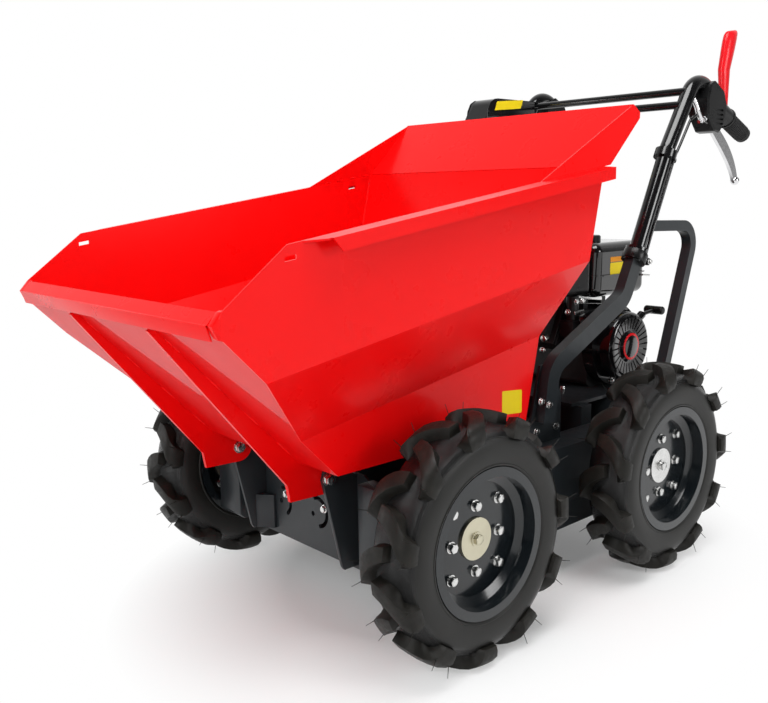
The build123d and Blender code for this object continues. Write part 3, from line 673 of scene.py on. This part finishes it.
SIDE_LABEL_OUTLINE = ((94, 452), (31, 446), (31, 396), (94, 402))
LABEL_THICKNESS = 0.0004


def rim_line(x):
    """The height of the rim's outer edge, which falls towards the lip."""
    return 888.1 - 0.15 * x


def rear_wall(z):
    """How far ahead the leaning rear wall stands at a height."""
    return 16.9 - (z - 370.6) * 0.23


def rib_welds(hand, face, y):
    for count, start in enumerate(RIB_WELDS):
        first, last = [
            (RIB_TOP[0] - share * RIB_RUN[0], y, RIB_TOP[1] - share * RIB_RUN[1])
            for share in (start, start + RIB_WELD_SHARE)
        ]
        weld(f"rib_weld_{hand}_{face}_{count}", first, last, (1, 0, -1), 0.0021)


def build_skip():
    for hand, side in SIDES:
        for count, x in enumerate(GUARD_WELDS):
            start, end = [
                (foot, side * GUARD_WELD_Y, rim_line(foot) + GUARD_WELD_RISE)
                for foot in (x, x - GUARD_WELD_LENGTH)
            ]
            weld(f"guard_weld_{hand}_{count}", start, end, (0, side, 1))
        start, end = [
            (rear_wall(z) + REAR_WELD_AHEAD, side * REAR_WELD_Y, z) for z in (REAR_WELD_LOW, REAR_WELD_HIGH)
        ]
        weld(f"rear_corner_weld_{hand}", start, end, (1, -side, 0))
        rib_welds(hand, "inner", side * (RIB_Y - RIB_HALF))
        rib_welds(hand, "outer", side * (RIB_Y + RIB_HALF))
        start, end = [(x, side * y, z) for x, y, z in (LIP_WELD_START, LIP_WELD_END)]
        weld(f"lip_corner_weld_{hand}", start, end, (0, side, 1), 0.0026)
        cap = side_plate(f"lip_end_{hand}", LIP_END_OUTLINE, side * LIP_END_Y, side * LIP_END_WIDTH,
                         edge=0.0008)
        ride_as(cap, "skip", "skip_paint", RED_PAINT)
    band = side_plate("lip_band", LIP_BAND_OUTLINE, LIP_BAND_Y, LIP_BAND_WIDTH, 0, 0.0005)
    ride_as(band, "skip", "skip_paint", RED_PAINT)
    label = side_plate("side_label", SIDE_LABEL_OUTLINE, SIDE_LABEL_Y, LABEL_THICKNESS, 0.003, 0)
    ride_as(label, "skip", "skip_paint", LABEL_YELLOW)


# Chassis

NOSE_OUTLINE = ((397.5, 320), (438, 320), (438, 150), (426, 138), (397.5, 138))
NOSE_Y, NOSE_WIDTH = 204, 0.083
# The gusset's outline is in (x, z). The web's is in (x, y), and stands up from its foot's height.
GUSSET_OUTLINE = (
    (400.2, 134), (436, 134), (441, 142), (474, 282), (485, 326),
    (478, 346), (462, 352), (444, 348), (400.2, 320),
)
GUSSET_Y, GUSSET_THICKNESS = 152.2, 0.008
WEB_OUTLINE = ((400.2, 152), (400.2, 118), (406, 118), (430, 152))
WEB_FOOT, WEB_HEIGHT = 134, 0.075
PIVOT_X, PIVOT_Z = 472, 328
PIN_Y, PIN_RADIUS, PIN_LENGTH = 136, 0.009, 0.036
PIVOT_HEAD_Y, PIVOT_NUT_Y = 143, 160.3
# Each of the frame's small bolts: x, y, z and how far its head is turned.
FRONT_PLATE_BOLTS = ((400, 54, 222, 0.2), (400, -78, 222, 0.5))
CASE_BOLTS = ((428, 287, 214, 0.1),)
UPRIGHT_BOLTS = (
    (-70, 257.6, 394, 0.3), (-43, 257.6, 406, 0.1),
    (-60, 232.1, 330, 0.2), (-130, 232.1, 330, 0.4),
)


def pivot_bracket(hand, side):
    """A gusset outboard of the rib, and a small web that runs in from its foot on the front plate."""
    gusset = side_plate(f"pivot_gusset_{hand}", GUSSET_OUTLINE, side * GUSSET_Y, side * GUSSET_THICKNESS,
                        edge=0.0008)
    web = plate(f"pivot_web_{hand}", [at(x, side * y, WEB_FOOT) for x, y in WEB_OUTLINE],
                Vector((0, 0, WEB_HEIGHT)), 0, 0.0008)
    return joined(f"pivot_bracket_{hand}", [gusset, web])


def build_chassis():
    for hand, side in SIDES:
        nose = side_plate(f"case_nose_{hand}", NOSE_OUTLINE, side * NOSE_Y, side * NOSE_WIDTH, 0, 0.003)
        ride_as(nose, "machine", "frame_paint", FRAME_PAINT)
        # The left bracket stands for the one CAD node that holds both.
        stands_for = ("pivot_brackets",) if hand == "left" else ()
        ride_as(pivot_bracket(hand, side), "machine", "frame_paint", FRAME_PAINT, *stands_for)
    pins = [disc(f"pivot_pin_{hand}", 32, PIN_RADIUS, 0, PIN_LENGTH) for hand, _ in SIDES]
    for pin, (_, side) in zip(pins, SIDES):
        pin.data.transform(set_on(at(PIVOT_X, side * PIN_Y, PIVOT_Z), (0, side, 0)))
    heads = [(at(PIVOT_X, side * PIVOT_HEAD_Y, PIVOT_Z), (0, -side, 0), 0.25) for _, side in SIDES]
    set_bolts("pivot_heads", "pivot_head", heads, "machine", ZINC)
    nuts = [(at(PIVOT_X, side * PIVOT_NUT_Y, PIVOT_Z), (0, side, 0), 0.1) for _, side in SIDES]
    set_bolts("pivot_nuts", "pivot_nut", nuts, "machine", ZINC)
    ride_as(joined("pivot_pins", pins), "machine", "zinc", ZINC, "pivot_bolts")
    small = [(at(x, y, z), (1, 0, 0), turn) for x, y, z, turn in FRONT_PLATE_BOLTS]
    for bolts in (CASE_BOLTS, UPRIGHT_BOLTS):
        for _, side in SIDES:
            small += [(at(x, side * y, z), (0, side, 0), turn) for x, y, z, turn in bolts]
    set_bolts("frame_bolts", "frame_bolt", small, "machine", ZINC)


# Engine and controls

BAR_Y = 245.0
OVAL_CORNERS = 24

STARTER_X, STARTER_FACE_Y, STARTER_Z = -505, 185.0, 461
# The starter's ring and the plate in its middle: name, radius, height and material.
STARTER_DISCS = (
    ("recoil_ring", 0.0345, 0.0016, LEVER_RED),
    ("recoil_centre", 0.0285, 0.0024, ENGINE_PAINT),
)
SHROUD_BOLTS, SHROUD_BOLT_RADIUS, SHROUD_Y = (40, 160, 280), 96, 140

TANK_LABEL_Y = 100.2
TANK_LABEL_OUTLINE = ((-529, 636), (-599, 636), (-599, 669), (-529, 669))
TANK_STRIP_OUTLINE = ((-529, 671), (-599, 671), (-599, 684), (-529, 684))

# These small parts by the carburettor and their bolts were read from the photo through the camera.
THROTTLE_Y, THROTTLE_THICKNESS = 60, 0.003
THROTTLE_OUTLINE = ((-416, 594), (-550, 577), (-551, 567), (-421, 581))
CHOKE_Y, CHOKE_THICKNESS = 97.2, 0.002
CHOKE_OUTLINE = ((-380, 546), (-420, 550), (-420, 557), (-380, 556))
GOVERNOR_ROD, GOVERNOR_RADIUS = ((-421, 61, 570), (-550, 61, 557)), 0.0016
TANK_CLIP, CLIP_RADIUS = ((-676, 104, 628), (-716, 101, 624)), 0.003
PLUG_STUB = (-326, 55, 490)
ENGINE_BOLTS = (
    ((-391, 58, 514), (0, 1, 0), 0.2),
    ((-376, 82, 553), (1, 0, 0), 0.4),
    ((-370, 74, 354), (0, 0, 1), 0.1),
    ((-326, 43, 457), (1, 0, 0), 0.1),
    ((-412, 97.2, 580), (0, 1, 0), 0.3),
    ((-386, 97.2, 580), (0, 1, 0), 0.6),
    ((-386, 97.2, 482), (0, 1, 0), 0.3),
)

# The clutch paddle's sections: x, z, width, depth and tilt in degrees.
PADDLE_STATIONS = (
    (-806, 1054, 30, 20, 0), (-804, 1110, 34, 23, 0), (-801, 1160, 42, 26, 0), (-815, 1208, 50, 29, 6),
    (-822, 1234, 55, 29, 10), (-827, 1250, 56, 26, 10), (-829, 1257, 50, 20, 10),
    (-829.5, 1260, 38, 10, 10),
)
LEVER_BRACKET = ((-628, 254, 1084), (-640, 262, 1062), (-646, 264, 1040), (-668, 263, 1024))
BRACKET_RADIUS = 0.0062
ADJUSTER_SCREW, SCREW_RADIUS = ((-652, 263, 1021), (-684, 263, 1031)), 0.0042
ADJUSTER_WAY, NUT_PLACE, BARREL_PLACE = (-0.95, 0, 0.3), (-664, 263, 1025), (-676, 263, 1029)
# The grip runs back and down from its bend. Its ribs start at this reach and are one pitch apart.
GRIP_BEND_X, GRIP_BEND_Z, GRIP_SLOPE = -764, 1062, radians(22)
GRIP_RIBS, GRIP_RIB_START, GRIP_RIB_PITCH = 13, 72, 7
GRIP_RIB_RADIUS, GRIP_RIB_HALF = 0.0222, 0.0016
# The band that clamps the two handlebar tubes, with the ear and the bolt behind it.
JOINT_X, JOINT_Z, JOINT_WAY = -412, 697, (-22, 0, 33)
BAND_RADIUS, BAND_HALF, EAR_RADIUS, EAR_HALF, EAR_BACK, EAR_DOWN = 0.0295, 0.013, 0.009, 0.020, 0.032, 0.012
CHEEK_OUTLINE = ((-600, 1105.5), (-430, 1105.5), (-412, 1096), (-400, 1074), (-397, 1048), (-600, 1058))
CHEEK_PLACES, CHEEK_THICKNESS = (-214.6, -288), 0.0016
CONSOLE_LABEL_Y = -212
CONSOLE_LABEL_OUTLINE = ((-437, 1098), (-547, 1108), (-537, 1084), (-427, 1074))


def oval(x, z, width, depth, tilt):
    """A tilted oval ring whose middle lies in the left handlebar's plane."""
    ring = []
    for count in range(OVAL_CORNERS):
        turn = 2 * pi * count / OVAL_CORNERS
        along, out = width / 2 * cos(turn), depth / 2 * sin(turn)
        ring.append(at(x + along * cos(radians(tilt)), BAR_Y + out, z - along * sin(radians(tilt))))
    return ring


def build_engine():
    face = at(STARTER_X, STARTER_FACE_Y, STARTER_Z)
    for name, radius, height, material in STARTER_DISCS:
        boss = disc(name, 64, radius, -0.001, height, 0.0004)
        boss.data.transform(set_on(face, (0, 1, 0)))
        ride_as(boss, "machine", "engine_paint", material)
    panel = side_plate("tank_label", TANK_LABEL_OUTLINE, TANK_LABEL_Y, LABEL_THICKNESS, 0.002, 0)
    ride_as(panel, "machine", "engine_paint", LABEL_YELLOW)
    strip = side_plate("tank_label_strip", TANK_STRIP_OUTLINE, TANK_LABEL_Y, LABEL_THICKNESS, 0.002, 0)
    ride_as(strip, "machine", "engine_paint", LABEL_AMBER)
    throttle = side_plate("throttle_plate", THROTTLE_OUTLINE, THROTTLE_Y, THROTTLE_THICKNESS, 0.002, 0.0005)
    ride_as(throttle, "machine", "engine_casting", ZINC)
    linkage = [
        side_plate("choke_lever", CHOKE_OUTLINE, CHOKE_Y, CHOKE_THICKNESS, 0.002, 0.0004),
        rod("governor_rod", [at(*place) for place in GOVERNOR_ROD], GOVERNOR_RADIUS),
        rod("tank_clip", [at(*place) for place in TANK_CLIP], CLIP_RADIUS),
    ]
    ride_as(joined("carburettor_linkage", linkage), "machine", "engine_casting", ZINC)
    stub = disc("plug_stub", 24, 0.0085, -0.002, 0.017, 0.0015)
    stub.data.transform(set_on(at(*PLUG_STUB), (1, 0, 0)))
    ride_as(stub, "machine", "zinc", ZINC)
    bolts = [(at(*place), way, turn) for place, way, turn in ENGINE_BOLTS]
    for angle in SHROUD_BOLTS:
        along, up = SHROUD_BOLT_RADIUS * cos(radians(angle)), SHROUD_BOLT_RADIUS * sin(radians(angle))
        bolts.append((at(STARTER_X + along, SHROUD_Y, STARTER_Z + up), (0, 1, 0), 0.2))
    set_bolts("engine_bolts", "engine_bolt", bolts, "machine", ZINC)


def clutch_lever():
    lever = lofted("clutch_paddle", [oval(*station) for station in PADDLE_STATIONS])
    smooth(lever, 60)
    ride_as(lever, "machine", "red_plastic", LEVER_RED, "clutch_lever")
    bracket = rod("lever_bracket", [at(*place) for place in LEVER_BRACKET], BRACKET_RADIUS, sides=4)
    ride_as(bracket, "machine", "polished_aluminium", ALUMINIUM)
    screw = rod("adjuster_screw", [at(*place) for place in ADJUSTER_SCREW], SCREW_RADIUS, sides=4)
    nut = disc("adjuster_nut", 6, 0.0085, 0, 0.008)
    barrel = disc("adjuster_barrel", 20, 0.0072, 0, 0.012)
    nut.data.transform(set_on(at(*NUT_PLACE), ADJUSTER_WAY))
    barrel.data.transform(set_on(at(*BARREL_PLACE), ADJUSTER_WAY))
    ride_as(joined("cable_adjuster", [screw, nut, barrel]), "machine", "polished_aluminium", ALUMINIUM)


def grip_ribs():
    back, down = cos(GRIP_SLOPE), sin(GRIP_SLOPE)
    ribs = []
    for count in range(GRIP_RIBS):
        reach = GRIP_RIB_START + count * GRIP_RIB_PITCH
        rib = disc(f"grip_rib_{count}", 40, GRIP_RIB_RADIUS, -GRIP_RIB_HALF, GRIP_RIB_HALF, 0.0012)
        middle = at(GRIP_BEND_X - reach * back, BAR_Y, GRIP_BEND_Z - reach * down)
        rib.data.transform(set_on(middle, (-back, 0, -down)))
        ribs.append(rib)
    to_right = Matrix.Translation((0, -2 * BAR_Y / 1000, 0))
    ribs += [copy_of(rib, "grip_rib", to_right) for rib in ribs]
    ride_as(joined("grip_ribs", ribs), "machine", "grip_rubber", GRIP_RUBBER)


def joint_bands():
    bands, bolts = [], []
    for side in (1, -1):
        middle = at(JOINT_X, side * BAR_Y, JOINT_Z)
        band = disc(f"joint_band_{side}", 40, BAND_RADIUS, -BAND_HALF, BAND_HALF, 0.0025)
        band.data.transform(set_on(middle, Vector(JOINT_WAY).normalized()))
        ear = disc(f"joint_ear_{side}", 24, EAR_RADIUS, -EAR_HALF, EAR_HALF, 0.0015)
        ear.data.transform(set_on(middle + Vector((-EAR_BACK, 0, -EAR_DOWN)), (0, 1, 0)))
        bands += [band, ear]
        bolts.append((middle + Vector((-EAR_BACK, side * EAR_HALF, -EAR_DOWN)), (0, side, 0), 0.2))
    ride_as(joined("joint_bands", bands), "machine", "black_plastic", PLASTIC)
    set_bolts("joint_bolts", "joint_bolt", bolts, "machine", ZINC)


def console_sides():
    cheeks = [
        side_plate(f"console_cheek_{count}", CHEEK_OUTLINE, y, CHEEK_THICKNESS, 0.004, 0.0005)
        for count, y in enumerate(CHEEK_PLACES)
    ]
    ride_as(joined("console_cheeks", cheeks), "machine", "bar_paint", BAR_PAINT)
    label = side_plate("console_label", CONSOLE_LABEL_OUTLINE, CONSOLE_LABEL_Y, LABEL_THICKNESS, 0.003, 0)
    ride_as(label, "machine", "bar_paint", LABEL_YELLOW)


def build_controls():
    clutch_lever()
    grip_ribs()
    joint_bands()
    console_sides()


# Camera, light and floor

# Each softbox: its name, its place, what it is aimed at, its width and height, and its power in watts.
SOFTBOXES = (
    ("softbox_over", (0.5, 0.7, 3.4), (0, 0, 0.4), (2.2, 1.6), 78),
    ("softbox_front", (3.2, 1.4, 1.9), (0.2, 0, 0.5), (1.0, 1.8), 40),
    ("softbox_side", (-1.2, 3.6, 1.7), (-0.1, 0, 0.5), (1.2, 1.4), 40),
    ("softbox_low", (2.5, -2.6, 0.95), (0.2, 0, 0.35), (0.8, 1.5), 17),
)
BACKDROP_WAY = (-0.66, -0.73, 0.18)
ROOM_LIGHT, BACKDROP_LIGHT, FILL_LIGHT = 0.03, 1.0, 0.36
FLOOR_SIZE, FLOOR_TONE = 60, 0.92
# The floor's own white gives way to the backdrop's between these distances from this middle.
FLOOR_MIDDLE, FLOOR_STRETCH = (0.03, 0.06, 0), (0.80, 1.0, 1.0)
FLOOR_NEAR, FLOOR_FAR, FLOOR_LEAST = 0.36, 0.68, 0.15


def set_camera():
    lens = bpy.data.cameras.new("photo_camera")
    lens.lens = CAMERA_LENS
    lens.sensor_width = 36
    lens.clip_start, lens.clip_end = 0.05, 60
    camera = bpy.data.objects.new("photo_camera", lens)
    bpy.context.scene.collection.objects.link(camera)
    camera.matrix_world = Matrix.Translation(CAMERA_PLACE) @ look_along(CAMERA_FORWARD, CAMERA_UP)
    bpy.context.scene.camera = camera


def add_lamp(name, place, aim, size, power):
    lamp = bpy.data.lights.new(name, "AREA")
    lamp.shape, lamp.size, lamp.size_y, lamp.energy = "RECTANGLE", size[0], size[1], power
    held = bpy.data.objects.new(name, lamp)
    bpy.context.scene.collection.objects.link(held)
    held.matrix_world = Matrix.Translation(place) @ turn_to(Vector(place) - Vector(aim))


def seen_by(nodes, links, path, first, *others):
    """One for a ray of any of the named kinds and nought for the rest."""
    seen = path.outputs[first]
    for other in others:
        seen = figure(nodes, links, "MAXIMUM", seen, path.outputs[other])
    return seen


def set_studio():
    for softbox in SOFTBOXES:
        add_lamp(*softbox)
    world = bpy.data.worlds.new("studio")
    bpy.context.scene.world = world
    world.use_nodes = True
    nodes, links = world.node_tree.nodes, world.node_tree.links
    back = nodes["Background"]
    back.inputs["Color"].default_value = (1, 1, 1, 1)
    path = nodes.new("ShaderNodeLightPath")
    # The white backdrop stands behind the machine, and the room on the near side is dim.
    towards = nodes.new("ShaderNodeVectorMath")
    towards.operation = "DOT_PRODUCT"
    links.new(nodes.new("ShaderNodeTexCoord").outputs["Generated"], towards.inputs[0])
    towards.inputs[1].default_value = BACKDROP_WAY
    seen = spread(nodes, links, towards.outputs["Value"], ROOM_LIGHT, BACKDROP_LIGHT, 0.0, 1.0)
    lit = nodes.new("ShaderNodeMix")
    lit.inputs["A"].default_value = FILL_LIGHT
    links.new(seen_by(nodes, links, path, "Is Glossy Ray", "Is Transmission Ray"), lit.inputs["Factor"])
    links.new(seen, lit.inputs["B"])
    shown = nodes.new("ShaderNodeMix")
    shown.inputs["B"].default_value = BACKDROP_LIGHT
    links.new(path.outputs["Is Camera Ray"], shown.inputs["Factor"])
    links.new(lit.outputs["Result"], shown.inputs["A"])
    links.new(shown.outputs["Result"], back.inputs["Strength"])
    bpy.context.scene.view_settings.view_transform = "Standard"


def lay_floor():
    clear_selection()
    bpy.ops.mesh.primitive_plane_add(size=FLOOR_SIZE, location=(0, 0, 0))
    floor = bpy.context.object
    floor.name = "studio_floor"
    made, nodes, links, shader, place = new_material("floor_white")
    shader.inputs["Base Color"].default_value = (FLOOR_TONE, FLOOR_TONE, FLOOR_TONE, 1)
    shader.inputs["Roughness"].default_value = 0.6
    # Away from the machine the floor turns into the white of the backdrop.
    stretched = nodes.new("ShaderNodeVectorMath")
    stretched.operation = "MULTIPLY"
    links.new(place, stretched.inputs[0])
    stretched.inputs[1].default_value = FLOOR_STRETCH
    reach = nodes.new("ShaderNodeVectorMath")
    reach.operation = "DISTANCE"
    links.new(stretched.outputs["Vector"], reach.inputs[0])
    reach.inputs[1].default_value = FLOOR_MIDDLE
    far = spread(nodes, links, reach.outputs["Value"], FLOOR_LEAST, 1, FLOOR_NEAR, FLOOR_FAR)
    path = nodes.new("ShaderNodeLightPath")
    seen = seen_by(nodes, links, path, "Is Camera Ray", "Is Glossy Ray", "Is Transmission Ray")
    share = figure(nodes, links, "MULTIPLY", far, seen)
    white = nodes.new("ShaderNodeEmission")
    white.inputs["Color"].default_value = (1, 1, 1, 1)
    both = nodes.new("ShaderNodeMixShader")
    links.new(share, both.inputs["Fac"])
    links.new(shader.outputs["BSDF"], both.inputs[1])
    links.new(white.outputs["Emission"], both.inputs[2])
    links.new(both.outputs["Shader"], nodes["Material Output"].inputs["Surface"])
    dress(floor, made)


CASINGS = {
    end: casing_rubber(f"casing_rubber_{end}", tyre_centre(end, "left")[0]) for end in ("front", "rear")
}

finish_cad_nodes()
build_wheels()
build_skip()
build_chassis()
build_engine()
build_controls()
set_camera()
set_studio()
lay_floor()

bpy.context.view_layer.update()
